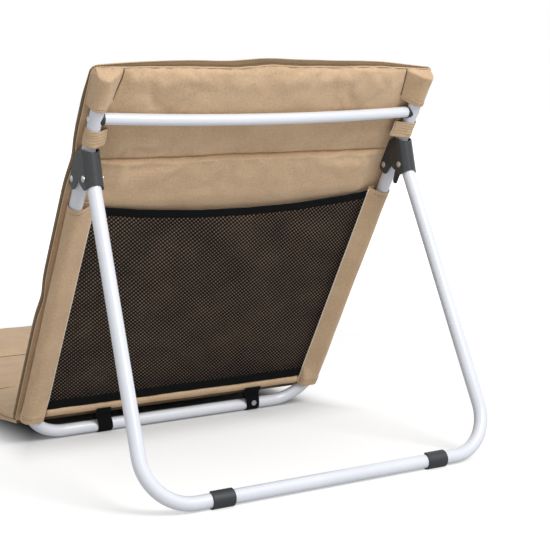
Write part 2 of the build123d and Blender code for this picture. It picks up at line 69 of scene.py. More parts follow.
# %% Sizes shared with the solids, in millimetres
MM = 0.001
BAR_Y = 203.1            # middle of the back frame's floor bar
BAR_Z = 11.3
LEAN = math.radians(56.4)
UP_Y, UP_Z = math.cos(LEAN), math.sin(LEAN)
TUBE_X = 252.5           # a side tube's centre line
TUBE_R = 9.5
CROSS_BAR_S = 576.0
PAD_REAR = 10.9          # back face of the back pad, in front of the tubes' plane
PAD_HALF = 267.0
PAD_TOP = 646.0
BACK_SEAMS = (24.0, 264.0, 503.0, PAD_TOP)
SEAT_SEAMS = (-5.0, -300.0, -597.0, -895.0)
MESH_HALF, MESH_LOW, MESH_SIDE, MESH_SAG = 226.1, 52.0, 432.0, 18.0
CANVAS_THICK = 1.0
SIDES = (("left", 1), ("right", -1))     # the sitter's left is +x


def on_back(x, s, f):
    """Point x across, s up the back and f towards the sitter, in millimetres."""
    return Vector((x, BAR_Y + s * UP_Y - f * UP_Z, BAR_Z + s * UP_Z + f * UP_Y)) * MM


def on_floor(x, y, z):
    """Point x across, y behind the floor bar and z above the floor, in millimetres."""
    return Vector((x, BAR_Y + y, z)) * MM


def ramp(value, low, high):
    """0 below low, 1 above high, and a smooth step between."""
    t = min(1.0, max(0.0, (value - low) / (high - low)))
    return t * t * (3 - 2 * t)


def bell(value, middle, width):
    """1 at middle and falling off to both sides."""
    return math.exp(-((value - middle) / width) ** 2)


def curve(value, *pairs):
    """Smooth line through pairs of (place, height), given from the lowest place up."""
    for (low, start), (high, end) in zip(pairs, pairs[1:]):
        if value <= high:
            return start + (end - start) * ramp(value, low, high)
    return pairs[-1][1]


def steps(low, high, count):
    """Evenly spaced values from low to high."""
    return [low + (high - low) * i / count for i in range(count + 1)]


def rumple(a, b, size, seed):
    """Soft noise from about -1 to 1 whose bumps are about size wide."""
    return noise.noise(Vector((a / size, b / size, seed * 7.3)))


# %% [markdown]
# ## One way to add a shader node
# Every finish below is a small graph. One function adds a node, sets its options, and fills or
# links its inputs, so that each material reads as a list of what it does. Colours are written as
# sRGB hex, as a paint chart gives them, and turned to the linear values that a renderer adds up.

# %% Helpers for finishes
WAVE = math.pi / 10            # a wave texture repeats every pi/10 at a scale of 1


def linear(hex_colour):
    """Linear RGBA of an sRGB hex colour such as C8AE8C."""
    parts = [int(hex_colour[i:i + 2], 16) / 255 for i in (0, 2, 4)]
    return [c / 12.92 if c <= 0.04045 else ((c + 0.055) / 1.055) ** 2.4 for c in parts] + [1.0]


def add(tree, kind, inputs=(), **options):
    """Add a node with its options; an input is a plain value or another node's output."""
    made = tree.nodes.new(kind)
    for name, value in options.items():
        setattr(made, name, value)
    for name, value in dict(inputs).items():
        if isinstance(value, bpy.types.NodeSocket):
            tree.links.new(value, made.inputs[name])
        else:
            made.inputs[name].default_value = value
    return made


def new_finish(name, **sockets):
    """A material whose Principled shader starts with these values on its own sockets."""
    finish = bpy.data.materials.new(name)
    finish.use_nodes = True
    shader = finish.node_tree.nodes["Principled BSDF"]
    for socket, value in sockets.items():
        shader.inputs[socket.replace("_", " ")].default_value = value
    return finish, finish.node_tree, shader


def tint(tree, shader, share, low, high):
    """Colour from low to high as share goes from 0 to 1."""
    mix = add(tree, "ShaderNodeMix", {"Factor": share, "A": linear(low), "B": linear(high)},
              data_type="RGBA")
    tree.links.new(mix.outputs["Result"], shader.inputs["Base Color"])


def relief(tree, shader, height, strength, depth):
    """Bump of the given real depth in metres."""
    bump = add(tree, "ShaderNodeBump", {"Height": height, "Strength": strength, "Distance": depth})
    tree.links.new(bump.outputs[0], shader.inputs["Normal"])


def coords(tree, kind):
    """Where a pattern runs: UV for cloth, Object for what is moulded or pressed."""
    return add(tree, "ShaderNodeTexCoord").outputs[kind]


def calc(tree, operation, *values):
    """Result of one sum on plain values or other nodes' outputs."""
    return add(tree, "ShaderNodeMath", enumerate(values), operation=operation).outputs[0]


def spread(tree, value, low, high, start=0.0, end=1.0, **options):
    """Stretch the range from low to high so that it runs from start to end."""
    sockets = {"Value": value, "From Min": low, "From Max": high, "To Min": start, "To Max": end}
    return add(tree, "ShaderNodeMapRange", sockets, **options).outputs[0]


def speckle(tree, where, size, detail=2.0, roughness=0.5):
    """Soft noise from 0 to 1 whose spots are about size metres wide."""
    sockets = {"Vector": where, "Scale": 1 / size, "Detail": detail, "Roughness": roughness}
    return add(tree, "ShaderNodeTexNoise", sockets).outputs["Fac"]


def lines(tree, where, pitch, ways):
    """One wave texture for each way the lines can run, with the given pitch in metres."""
    return [add(tree, "ShaderNodeTexWave", {"Vector": where, "Scale": WAVE / pitch},
                bands_direction=way).outputs["Fac"] for way in ways]


# %% [markdown]
# ## Canvas
# The cover is a plain-woven polyester canvas, tan, dyed in the yarn, with a dry, slightly fuzzy
# face. A plain weave is two sets of threads that take turns on top, like a chessboard. So one
# wave runs across, one runs along, and a checker of the same pitch picks which is on top. The
# real thread is about 0.5 mm, too fine to show here, so it is drawn at 1.1 mm. Broad soft noise
# gives the faint cloudiness of dyed cloth, and a little sheen gives the fuzz. The pattern runs on
# UVs in metres, which each piece of cloth gets when it is cut.

# %% Canvas finishes
CANVAS_THREAD = 1.1 * MM


def canvas(name, lit, deep):
    finish, tree, shader = new_finish(name, Roughness=0.92, Specular_IOR_Level=0.25,
                                      Sheen_Weight=0.15, Sheen_Roughness=0.5)
    cloth = coords(tree, "UV")
    over, along = lines(tree, cloth, CANVAS_THREAD, "XY")
    turns = add(tree, "ShaderNodeTexChecker", {"Vector": cloth, "Scale": 1 / CANVAS_THREAD})
    weave = add(tree, "ShaderNodeMix",
                {"Factor": turns.outputs["Fac"], "A": over, "B": along}).outputs["Result"]
    fuzz = speckle(tree, cloth, 3.5 * MM, 3.0)
    cloud = speckle(tree, cloth, 55 * MM, 4.0, 0.6)
    shade = calc(tree, "MULTIPLY_ADD", weave, 0.3, calc(tree, "ADD", fuzz, cloud))
    tint(tree, shader, spread(tree, shade, 0.75, 1.55), deep, lit)
    threads = calc(tree, "MULTIPLY_ADD", fuzz, 0.8, weave)
    dents = speckle(tree, cloth, 17 * MM)
    relief(tree, shader, calc(tree, "MULTIPLY_ADD", dents, 9.0, threads), 0.4, 0.3 * MM)
    return finish


tan_canvas = canvas("woven_polyester_canvas", "E0C29F", "C5A583")
# The side and end panels take the same canvas drawn darker: painted shade where they turn away from
# the light.
painted_shade_canvas = canvas("woven_canvas_edge_panel_painted_shade", "8A7153", "6A553C")
print("canvas threads per cm:", round(10 * MM / CANVAS_THREAD, 1))

# %% [markdown]
# The underside of the floor pads is another cloth: a black spunbonded underlay, as used under mats.
# Its black also paints the shade in the hollow under the rear pad. It is thousands of fine fibres
# pressed together, so it has no threads, only a grainy, matt face.

# %% Underside cloth, whose black also paints shade
def spunbonded_lining():
    finish, tree, shader = new_finish("black_spunbonded_lining", Roughness=0.95)
    cloth = coords(tree, "UV")
    fibres = speckle(tree, cloth, 0.8 * MM, 4.0)
    # Black, which also paints the shade in the hollow under the rear pad.
    tint(tree, shader, fibres, "0D0E0F", "1B1C1E")
    relief(tree, shader, fibres, 0.4, 0.2 * MM)
    return finish


lining_and_hollow_shade = spunbonded_lining()

# %% [markdown]
# ## Powder-coated steel
# The tubes are steel with a white polyester powder coat, baked to a hard, even, half-gloss skin
# with a cold, faintly blue tint. Powder never levels out fully: it keeps a fine orange peel,
# dimples one to three millimetres wide. That is what breaks up the long highlight, so it is the
# one thing the bump has to show.

# %% Powder coat
def powder_coat():
    finish, tree, shader = new_finish("white_powder_coated_steel", Roughness=0.3, IOR=1.5,
                                      Coat_Weight=0.3, Coat_Roughness=0.12)
    place = coords(tree, "Object")
    relief(tree, shader, speckle(tree, place, 2.2 * MM, 1.0), 0.16, 0.05 * MM)
    tint(tree, shader, speckle(tree, place, 1 / 12, 4.0), "DCE0E9", "EBEEF5")
    return finish


white_tube = powder_coat()

# %% [markdown]
# ## Dark steel, plastic and zinc
# The brackets are pressed steel under a thin black electro-coat: satin, with a little grey where
# edges rub. The foot clips, saddles and plugs are moulded polypropylene, charcoal, with the fine
# grain that a spark-eroded mould leaves. The rivets are zinc-plated and bright, with faint
# turning marks.

# %% Dark and bright hardware
def dark_steel():
    finish, tree, shader = new_finish("black_electrocoated_steel", Roughness=0.36, IOR=1.5,
                                      Specular_IOR_Level=0.2, Coat_Weight=0.35, Coat_Roughness=0.12)
    place = coords(tree, "Object")
    grain = speckle(tree, place, 0.9 * MM, 3.0)
    edge = add(tree, "ShaderNodeNewGeometry").outputs["Pointiness"]
    worn = spread(tree, edge, 0.54, 0.64)
    tint(tree, shader, calc(tree, "MULTIPLY", worn, grain), "0A0B0C", "5B5F61")
    relief(tree, shader, grain, 0.25, 0.04 * MM)
    return finish


def moulded_plastic():
    finish, tree, shader = new_finish("moulded_polypropylene_charcoal", Roughness=0.5, IOR=1.49)
    place = coords(tree, "Object")
    spark = add(tree, "ShaderNodeTexVoronoi", {"Vector": place, "Scale": 1 / (0.5 * MM)})
    tint(tree, shader, spark.outputs["Distance"], "26292D", "35383D")
    relief(tree, shader, spark.outputs["Distance"], 0.3, 0.05 * MM)
    return finish


def zinc_plate():
    finish, tree, shader = new_finish("zinc_plated_steel", Metallic=0.8, Roughness=0.34)
    place = coords(tree, "Object")
    marks = speckle(tree, place, 0.6 * MM)
    tint(tree, shader, marks, "B9BBBC", "DADBDC")
    relief(tree, shader, marks, 0.2, 0.03 * MM)
    return finish


bracket_steel, clip_plastic, rivet_zinc = dark_steel(), moulded_plastic(), zinc_plate()

# %% [markdown]
# ## Webbing, tape and thread
# The straps and the pocket's edge tape are black polyester, woven in ribs that run across the
# band. The ribs catch a little light: besides the bump, their colour is painted lighter along the
# ribs, a painted highlight, which is all that shows on black. The thread is spun polyester: pale
# on the sleeves, and brown where it sinks into the edge seams. Brown thread also draws the thin
# dark lines that paint the crease shade in the floor pads' quilting seams and along the pockets'
# inner edges.

# %% Webbing and thread
def ribbed_tape(name, rib, low, high):
    finish, tree, shader = new_finish(name, Roughness=0.85, Specular_IOR_Level=0.14)
    cloth = coords(tree, "UV")
    both = calc(tree, "MULTIPLY", *lines(tree, cloth, rib, ("Y", "DIAGONAL")))
    # Colour lighter along the ribs: a painted highlight.
    tint(tree, shader, both, low, high)
    relief(tree, shader, both, 0.5, 0.3 * MM)
    return finish


def spun_thread(name, low, high):
    finish, tree, shader = new_finish(name, Roughness=0.7, Sheen_Weight=0.2)
    place = coords(tree, "Object")
    tint(tree, shader, speckle(tree, place, 0.8 * MM), low, high)
    return finish


black_webbing = ribbed_tape("woven_polyester_webbing", 1.6 * MM, "060708", "131416")
black_tape = ribbed_tape("woven_edge_tape", 1.0 * MM, "07080A", "121416")
pale_thread = spun_thread("spun_polyester_thread_pale", "EADCC8", "F6EEE0")
# Brown thread for the stitches, and for the thin dark lines that paint the crease shade in the
# quilting seams and along the pockets' inner edges.
brown_thread_and_crease_shade = spun_thread("spun_polyester_thread_brown_and_crease_shade", "5A4A34", "71603F")

# %% [markdown]
# ## Knitted mesh
# The pocket is a warp-knitted mesh: black yarn that loops round openings set like bricks. Two
# crossed waves turned by 45 degrees are high together only in a diamond grid of spots, and those
# spots are the openings. They are 4 mm apart one way and 6 mm the other, because the mesh is
# pulled a little askew. Where it is pulled harder its openings close a little, so a broad noise
# changes their size. The pad behind shows through as small tan dots.

# %% Mesh finish
MESH_PITCH = (6.0 * MM, 4.0 * MM, 1.0)


def knitted_mesh():
    finish, tree, shader = new_finish("warp_knitted_mesh", Roughness=0.75, Specular_IOR_Level=0.2)
    cloth = coords(tree, "UV")
    turned = add(tree, "ShaderNodeMapping", {"Vector": cloth, "Rotation": (0, 0, math.pi / 4),
                                             "Scale": MESH_PITCH}, vector_type="TEXTURE").outputs[0]
    spot = calc(tree, "MULTIPLY", *lines(tree, turned, 1.0, "XY"))
    pull = speckle(tree, cloth, 60 * MM, 1.0)
    tight = calc(tree, "MULTIPLY_ADD", pull, 0.35, 0.13)
    yarn = spread(tree, spot, tight, calc(tree, "ADD", tight, 0.11), 1.0, 0.0)
    tree.links.new(yarn, shader.inputs["Alpha"])
    tint(tree, shader, spot, "0C0D0E", "040404")
    relief(tree, shader, yarn, 0.5, 0.3 * MM)
    return finish


mesh_yarn = knitted_mesh()

# %% [markdown]
# ## Paint the hard parts
# The tubes, brackets and clips already have their true shape, so they stay and only take a
# finish.

# %% Finish the solids that stay
def both_sides(*names):
    return [f"{name}_{side}" for name in names for side, _ in SIDES]


hard_parts = {
    white_tube: ["back_frame_tube", "rear_leg_tube", "cross_bar", "cross_bar_bolts"],
    bracket_steel: both_sides("hinge_bracket"),
    rivet_zinc: ["bracket_rivets", "pivot_rivets", "bracket_spacers", "cross_bar_inserts",
                 "strap_studs"],
    clip_plastic: both_sides("tube_plug", "cross_bar_saddle", "pivot_keeper", "leg_end_plug",
                             "foot_clip") + ["pivot_washers"],
}
for finish, names in hard_parts.items():
    for name in names:
        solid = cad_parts[name]
        solid.data.materials.clear()
        solid.data.materials.append(finish)
print("finished", sum(len(names) for names in hard_parts.values()), "solids")

# %% [markdown]
# ## Cutting cloth
# A padded panel is a box of cloth: a back, a front and a thin side panel all round. One function
# builds the skin of a box with a fine grid, and a shape function says where each grid point goes.
# A regular grid wrinkles evenly in a simulation, and its rows can follow the seams. A second
# function lays a flat pattern on every face, in metres, so the weave has its real size
# everywhere.

# %% Panels and their weave
BACK_AXES = (Vector((1, 0, 0)), Vector((0, UP_Y, UP_Z)), Vector((0, -UP_Z, UP_Y)))
FLOOR_AXES = (Vector((1, 0, 0)), Vector((0, 1, 0)), Vector((0, 0, 1)))


def put(name, data):
    """A new object in the scene."""
    made = bpy.data.objects.new(name, data)
    bpy.context.scene.collection.objects.link(made)
    return made


def cut_cloth(name, points, faces, finishes, axes=BACK_AXES, panels=None):
    """Make a mesh object with UVs in metres, laid flat along the two axes each face lies in."""
    mesh = bpy.data.meshes.new(name)
    mesh.from_pydata(points, [], faces)
    mesh.update()
    flat = mesh.uv_layers.new(name="cloth")
    for face in mesh.polygons:
        away = [abs(face.normal.dot(axis)) for axis in axes]
        u, v = ((2, 1), (0, 2), (0, 1))[away.index(max(away))]
        for loop in face.loop_indices:
            place = mesh.vertices[mesh.loops[loop].vertex_index].co
            flat.data[loop].uv = (place.dot(axes[u]), place.dot(axes[v]))
        face.use_smooth = True
    for finish in finishes:
        mesh.materials.append(finish)
    for face, panel in zip(mesh.polygons, panels or ()):
        face.material_index = panel
    return put(name, mesh)


def boxed_panel(name, across, along, through, shape, finishes, axes=BACK_AXES,
                side=0, end=0, under=0):
    """Skin of a box. shape turns one value of each list into a point.

    side, end and under are the numbers of the finishes those panels take.
    """
    spots, points, faces, panels = {}, [], [], []
    wide, long, deep = len(across) - 1, len(along) - 1, len(through) - 1

    def spot(i, j, k):
        if (i, j, k) not in spots:
            spots[i, j, k] = len(points)
            points.append(shape(across[i], along[j], through[k]))
        return spots[i, j, k]

    def face(*corners):
        faces.append([spot(*corner) for corner in corners])

    for j in range(long):
        for i in range(wide):
            face((i, j, 0), (i, j + 1, 0), (i + 1, j + 1, 0), (i + 1, j, 0))
            face((i, j, deep), (i + 1, j, deep), (i + 1, j + 1, deep), (i, j + 1, deep))
            panels += [under, 0]
    for k in range(deep):
        for j in range(long):
            face((0, j, k), (0, j, k + 1), (0, j + 1, k + 1), (0, j + 1, k))
            face((wide, j, k), (wide, j + 1, k), (wide, j + 1, k + 1), (wide, j, k + 1))
        for i in range(wide):
            face((i, 0, k), (i + 1, 0, k), (i + 1, 0, k + 1), (i, 0, k + 1))
            face((i, long, k), (i, long, k + 1), (i + 1, long, k + 1), (i + 1, long, k))
        panels += [side] * 2 * long + [end] * 2 * wide
    return cut_cloth(name, points, faces, finishes, axes, panels), spots


NEAR_SEAM = (0.8, 1.7, 3.4)      # extra rows this far from a seam
LEAST_ROW = 0.7


def rows_with_seams(seams, spacing):
    """Rows along a panel, closer together beside each seam."""
    rows = set(seams)
    for low, high in zip(seams, seams[1:]):
        count = max(4, round((high - low) / spacing))
        rows.update(steps(low, high, count)[1:-1])
        rows.update(place for gap in NEAR_SEAM for place in (low + gap, high - gap))
    kept = []
    for row in sorted(rows):
        if not kept or row - kept[-1] >= LEAST_ROW:
            kept.append(row)
        elif row in seams:
            kept[-1] = row
    return kept


def columns(count):
    """Places from -1 to 1 across a pad, closer together towards its sides."""
    return [math.sin(t * math.pi / 2) * 0.35 + t * 0.65 for t in steps(-1, 1, count)]


def sheet_faces(rows, wide, order=(0, 1, 2, 3)):
    """Faces of a grid of points; order is the order in which a cell's corners are taken."""
    faces = []
    for row in range(rows - 1):
        for first in range(row * wide, row * wide + wide - 1):
            corners = (first, first + 1, first + 1 + wide, first + wide)
            faces.append([corners[n] for n in order])
    return faces


def softer(piece, thickness=0.0, offset=0.0):
    """Give a cut cloth its thickness in millimetres and round its grid by one subdivision."""
    if thickness:
        shell = piece.modifiers.new("cloth_thickness", "SOLIDIFY")
        shell.thickness, shell.offset = thickness * MM, offset
    smooth = piece.modifiers.new("smooth", "SUBSURF")
    smooth.levels = smooth.render_levels = 1
    return piece


def sewn_on(piece, body, node=None):
    """Let a piece ride on its body and stand for its plain solid."""
    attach(piece, body)
    if node:
        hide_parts(node)
    return piece


# %% [markdown]
# ## Filling a pad
# A real pad is a sewn cover pushed outwards by foam. Cloth simulation does the same: the seams
# are pinned, a little air pressure pushes from inside, and the cover is cut three percent too
# large, so it has to wrinkle. Gravity is off, because foam doesn't sag. After twenty frames the
# shape is kept, each point's move is capped so that nothing pokes into its neighbour, and the
# modifier goes away.

# %% The filling step
FRAMES = 20
SLACK = 0.03                     # the cover is cut this share too large


def fill_pad(piece, spots, hold, pressure):
    """Push a cover out between its pinned seams.

    hold turns a grid point into how firmly it is pinned and how many millimetres it may move.
    """
    pins, caps = zip(*(hold(*spot) for spot in spots))
    rest = [v.co.copy() for v in piece.data.vertices]
    group = piece.vertex_groups.new(name="sewn")
    for index, weight in enumerate(pins):
        if weight > 0:
            group.add([index], weight, "REPLACE")
    cloth = piece.modifiers.new("filling", "CLOTH")
    cover = cloth.settings
    cover.quality = 5
    cover.mass = 0.2
    cover.tension_stiffness = cover.compression_stiffness = 18
    cover.shear_stiffness = 8
    cover.bending_stiffness = 0.6
    cover.use_pressure = True
    cover.uniform_pressure_force = pressure
    cover.shrink_min = -SLACK
    cover.vertex_group_mass = "sewn"
    cover.effector_weights.gravity = 0
    cloth.collision_settings.use_collision = False
    cloth.point_cache.frame_start, cloth.point_cache.frame_end = 1, FRAMES
    for number in range(1, FRAMES + 1):
        bpy.context.scene.frame_set(number)
    shaped = piece.evaluated_get(bpy.context.evaluated_depsgraph_get()).data
    moved = [v.co.copy() for v in shaped.vertices]
    piece.modifiers.remove(cloth)
    bpy.context.scene.frame_set(1)
    piece.vertex_groups.clear()
    most = 0.0
    for vertex, place, start, cap in zip(piece.data.vertices, moved, rest, caps):
        move = place - start
        if move.length > cap * MM:
            move *= cap * MM / move.length
        most = max(most, move.length)
        vertex.co = start + move
    print(piece.name, "filled, largest move in mm:", round(most / MM, 1))
    return softer(piece)


# %% [markdown]
# ## Cords and stitches
# Two more small makers. A cord is a thin round roll along a line of points: it does for the
# welts, the corded edges of the mat. A row of stitches is a line of short spindles, each dipping
# into the cloth at both ends, 3 mm long with a small gap, as a heavy sewing machine sets them.

# %% Cord and stitch makers
def rings_along(path, radii, sides, away):
    """Points and faces of a round bar along a path, with a radius for each point of the path."""
    points, faces = [], []
    for n, (here, radius) in enumerate(zip(path, radii)):
        ahead = (path[min(n + 1, len(path) - 1)] - path[max(n - 1, 0)]).normalized()
        up = (away - ahead * away.dot(ahead)).normalized()
        beside = ahead.cross(up)
        for k in range(sides):
            turn = 2 * math.pi * k / sides
            points.append(here + (up * math.cos(turn) + beside * math.sin(turn)) * radius)
    for n in range(len(path) - 1):
        for k in range(sides):
            m = (k + 1) % sides
            faces.append([n * sides + k, n * sides + m, (n + 1) * sides + m, (n + 1) * sides + k])
    faces.append(list(range(sides))[::-1])
    faces.append(list(range((len(path) - 1) * sides, len(path) * sides)))
    return points, faces


def cord(name, path, radius, finish, body, away=BACK_AXES[2]):
    """A round roll of the given radius in millimetres, sewn down along a path."""
    points, faces = rings_along(path, [radius * MM] * len(path), 8, away)
    return sewn_on(cut_cloth(name, points, faces, [finish]), body)


STITCH, STITCH_GAP = 3.0, 1.4


def stitches(name, paths, body, thick=0.42, away=BACK_AXES[2]):
    """Rows of stitches in brown thread along polylines."""
    points, faces = [], []
    for path in paths:
        left, place = STITCH * MM, path[0]
        start, drawing = path[0], True
        for ahead in path[1:]:
            while (ahead - place).length >= left:
                place = place + (ahead - place).normalized() * left
                if drawing:
                    dip = [start.lerp(place, t) for t in (0, 0.25, 0.75, 1)]
                    radii = [thick * MM * share for share in (0.3, 1, 1, 0.3)]
                    made, skins = rings_along(dip, radii, 5, away)
                    faces += [[i + len(points) for i in skin] for skin in skins]
                    points += made
                start, drawing = place, not drawing
                left = (STITCH if drawing else STITCH_GAP) * MM
            left -= (ahead - place).length
            place = ahead
    return sewn_on(cut_cloth(name, points, faces, [brown_thread_and_crease_shade]), body)


# %% [markdown]
# ## The back pad
# Seen from behind, the pad is a panel with one cross seam below the cross bar. The seam pulls a
# sharp crease, and the bands above and below puff out and pucker beside it. Its front has three
# full channels. A narrow side panel runs all round, thick in the middle of the top and thin at
# its corners. The rear face may swell only where it is free, not where sleeves and mesh lie
# against it, and it gives way where the cross bar presses on it.

# %% Back pad shape
REAR_SEAM = BACK_SEAMS[2]
CORNERS = {1: 9.0, -1: 4.0}      # the corner on the sitter's right is sharper


def channel(value, seams):
    """0 at a seam and 1 in the middle of a channel."""
    for low, high in zip(seams, seams[1:]):
        if low <= value <= high:
            return math.sin(math.pi * (value - low) / (high - low))
    return 0.0


def back_half(s, sign):
    """Half width: drawn in at the seams and rounded at the top corners."""
    pinch = 4.0 * max(bell(s, seam, 26) for seam in BACK_SEAMS[1:3])
    radius = CORNERS[sign]
    over = max(0.0, s - (PAD_TOP - radius))
    return PAD_HALF - pinch - radius + math.sqrt(max(0.0, radius ** 2 - over ** 2))


def top_wave(x, s):
    """The sewn top edge isn't straight: it rises in the middle and drops at one corner."""
    rise = 2.1 * bell(x, 0, 34) - 1.8 * bell(x, 68, 34) - 0.8 * bell(x, -110, 30)
    return (rise - 3.5 * ramp(-x, 170, 262)) * ramp(s, 606, PAD_TOP)


UPPER_BAND = ((REAR_SEAM, 0.6), (512, 2.8), (536, 5.8), (576, 6.2), (610, 7.0), (632, 8.6),
              (641, 6.4), (PAD_TOP, 0.0))
LOWER_BAND = ((405, 0.0), (446, 6.0), (482, 8.2), (497, 6.9), (501, 4.4), (REAR_SEAM, 0.6))
BAR_HALF, BAR_BOW, BAR_REACH = 242, 10, 9        # the cross bar with a little room round it


def rear_face(x, s):
    """Two full bands meet in a crease: the upper one eases into it, the lower one springs out."""
    free = 1 - ramp(abs(x), 196, 240)
    puff = curve(s, *(UPPER_BAND if s > REAR_SEAM else LOWER_BAND))
    pucker = math.exp(-abs(s - REAR_SEAM) / 17) * (1.3 * rumple(x, 0, 13, 1) + rumple(x, s, 24, 2))
    pucker += math.exp(-abs(s - 640) / 14) * 1.3 * rumple(x, 3, 17, 3)
    soft = 1.6 * rumple(x, s, 70, 4) + 1.0 * rumple(x, s * 1.4, 26, 5)
    f = PAD_REAR - (puff + (pucker + soft) * ramp(s, 420, 450)) * free
    from_bar = abs(s - CROSS_BAR_S)
    if from_bar < BAR_REACH:
        bar = BAR_BOW * ((x / BAR_HALF) ** 2 - 1) + math.sqrt(BAR_REACH ** 2 - from_bar ** 2)
        f = max(f, min(bar + 0.6, PAD_REAR))
    hollow = 6.0 * (1 - ramp(s, 45, 120)) * (1 - ramp(abs(x), 150, 220))
    crease = bell(s, REAR_SEAM + 0.7 * rumple(x, 9, 60, 6), 1.5) * ramp(246 - abs(x), 0, 12)
    return f + hollow + 4.5 * crease


def front_face(x, s):
    """Three full channels, thinner towards the top edge."""
    a = min(1.0, abs(x) / PAD_HALF)
    full = channel(s, BACK_SEAMS) ** 0.55
    top = ramp(s, 590, PAD_TOP)
    edge = 20.5 - 6.0 * top
    crown = 31.0 + 10.0 * full - 2.5 * top
    to_seam = min(abs(s - seam) for seam in BACK_SEAMS[1:3])
    pleat = math.exp(-to_seam / 16) * 1.6 * rumple(x, 5, 15, 7)
    return edge + (crown - edge) * (1 - a ** (7 - 4 * top)) + pleat * (1 - a ** 4)


def back_shape(a, s, c):
    """a runs -1 to 1 across, s up the back, c from 0 at the rear to 1 at the front."""
    x = a * back_half(s, 1 if a > 0 else -1) * (1 + 0.006 * math.sin(math.pi * c))
    rear = rear_face(x, s)
    roll = 3.0 * ramp(s, 640, PAD_TOP) * math.sin(math.pi * c) * (1 - a * a)
    return on_back(x, s + top_wave(x, s) + roll, rear + (front_face(x, s) - rear) * c)


# %% Cut and fill the back pad
across = columns(100)
rows = rows_with_seams(BACK_SEAMS, 5.4)
depth = steps(0, 1, 4)
# The side and end panels take the darker canvas, as painted shade.
back_pad, spots = boxed_panel("back_pad", across, rows, depth, back_shape,
                              [tan_canvas, painted_shade_canvas], side=1, end=1)


def hold_back(i, j, k):
    x, s = abs(across[i]) * PAD_HALF, rows[j]
    edge = i in (0, len(across) - 1) or j in (0, len(rows) - 1)
    if k == 0:
        touched = abs(s - CROSS_BAR_S) < 12 and x > 120
        pin = float(abs(s - REAR_SEAM) < 4 or edge or x > 230 or s < 300 or touched)
        return pin, 0.0 if touched else 2.2 * ramp(228 - x, 0, 20)
    if k == len(depth) - 1:
        return float(min(abs(s - seam) for seam in BACK_SEAMS) < 0.5 or edge), 6.0
    return 0.9, 1.5


fill_pad(back_pad, spots, hold_back, pressure=2.5)
sewn_on(back_pad, "back", "back_cushion")
print("back pad:", len(spots), "points in", len(rows), "rows")

# %% [markdown]
# The edges of the pad are corded: a welt runs up both sides and over the top, behind and in
# front, with a row of brown stitches beside it on the side panel.

# %% Welts of the back pad
def rim(c, lift=0.4):
    """Line up one side, over the top and down the other, at depth c of the side panel."""
    ups = steps(30.0, 636, 90) + [638, 640, 642, 643.5, 645, PAD_TOP]
    line = [(1.0, s) for s in ups] + [(t, PAD_TOP) for t in steps(0.98, -0.98, 90)]
    line += [(-1.0, s) for s in reversed(ups)]
    middle, path = on_back(0, 330, 14), []
    for a, s in line:
        here = back_shape(a, s, c)
        out = here - middle
        out -= BACK_AXES[2] * out.dot(BACK_AXES[2])
        path.append(here + out.normalized() * lift * MM)
    return path


cord("rear_welt", rim(0.0), 1.1, tan_canvas, "back")
cord("front_welt", rim(1.0), 1.2, tan_canvas, "back")
stitches("side_panel_stitches", [rim(0.22, lift=0.9), rim(0.8, lift=0.9)], "back")

# %% [markdown]
# ## The floor pads
# Three pads lie on the floor in front of the bar. Each is pinched along its cross seams and rolls
# up to a crown. The rear one slopes up off the floor to meet the back, so there is a dark hollow
# under it. The last one ends in a full, boxed edge.

# %% Floor pads
REAR_EDGE = ((-300, 11.0), (-270, 15.0), (-160, 27.5), (-60, 38.0), (-5, 38.2))
REAR_CROWN = ((-300, 24.0), (-284, 30.0), (-240, 37.5), (-150, 40.5), (-60, 41.8), (-5, 41.0))
SEAM_EDGE, SEAM_CROWN = 11.0, 24.0               # heights at a seam that lies on the floor


def seat_lines(y):
    """Underside, side edge and crown heights along the three floor pads."""
    if y > -300:
        under = 29.0 * min(1.0, max(0.0, (y + 292) / 252)) + ramp(y, -40, -5)
        return under, curve(y, *REAR_EDGE), curve(y, *REAR_CROWN)
    if y > -597:
        full = math.sin(math.pi * (y + 597) / 297) ** 0.5
        return 0.0, SEAM_EDGE + 3.5 * full, SEAM_CROWN + 10.0 * full
    full = math.sin(math.pi * min(0.5, (-597 - y) / 298)) ** 0.5
    return 0.0, SEAM_EDGE + 4.0 * full, SEAM_CROWN + 12.0 * full


def seat_shape_for(low, high):
    """Shape of the pad between two seams: a across, y along, c from the underside up."""
    def seat_shape(a, y, c):
        under, edge, crown = seat_lines(min(max(y, high + 0.5), low - 0.5))
        pinch = 4.5 * max(bell(y, seam, 24) for seam in SEAT_SEAMS)
        x = a * (PAD_HALF - pinch)
        to_seam = min(abs(y - seam) for seam in SEAT_SEAMS)
        pleat = math.exp(-to_seam / 15) * 1.3 * rumple(x, 11, 16, 8)
        top = edge + (crown - edge) * (1 - abs(a) ** 7)
        top += (pleat + 0.6 * rumple(x, y, 55, 9)) * (1 - a ** 4)
        return on_floor(x, y, under + (top - under) * c)
    return seat_shape


def floor_pad(name, low, high, body, node):
    across = columns(84)
    rows = rows_with_seams((high, low), 6.3)
    depth = steps(0, 1, 4)
    # The end panels take the darker canvas, as painted shade; the underside takes the black cloth,
    # whose black also paints the hollow's shade.
    piece, spots = boxed_panel(name, across, rows, depth, seat_shape_for(low, high),
                               [tan_canvas, painted_shade_canvas, lining_and_hollow_shade], FLOOR_AXES, end=1, under=2)

    def hold(i, j, k):
        edge = i in (0, len(across) - 1) or j in (0, len(rows) - 1)
        if k == 0:
            return 1.0, 0.0
        if k == len(depth) - 1:
            return float(edge), 2.4 * ramp(min(rows[j] - rows[0], rows[-1] - rows[j]), 7, 32)
        return 0.9, 1.0

    fill_pad(piece, spots, hold, pressure=2.0)
    sewn_on(piece, body, node)


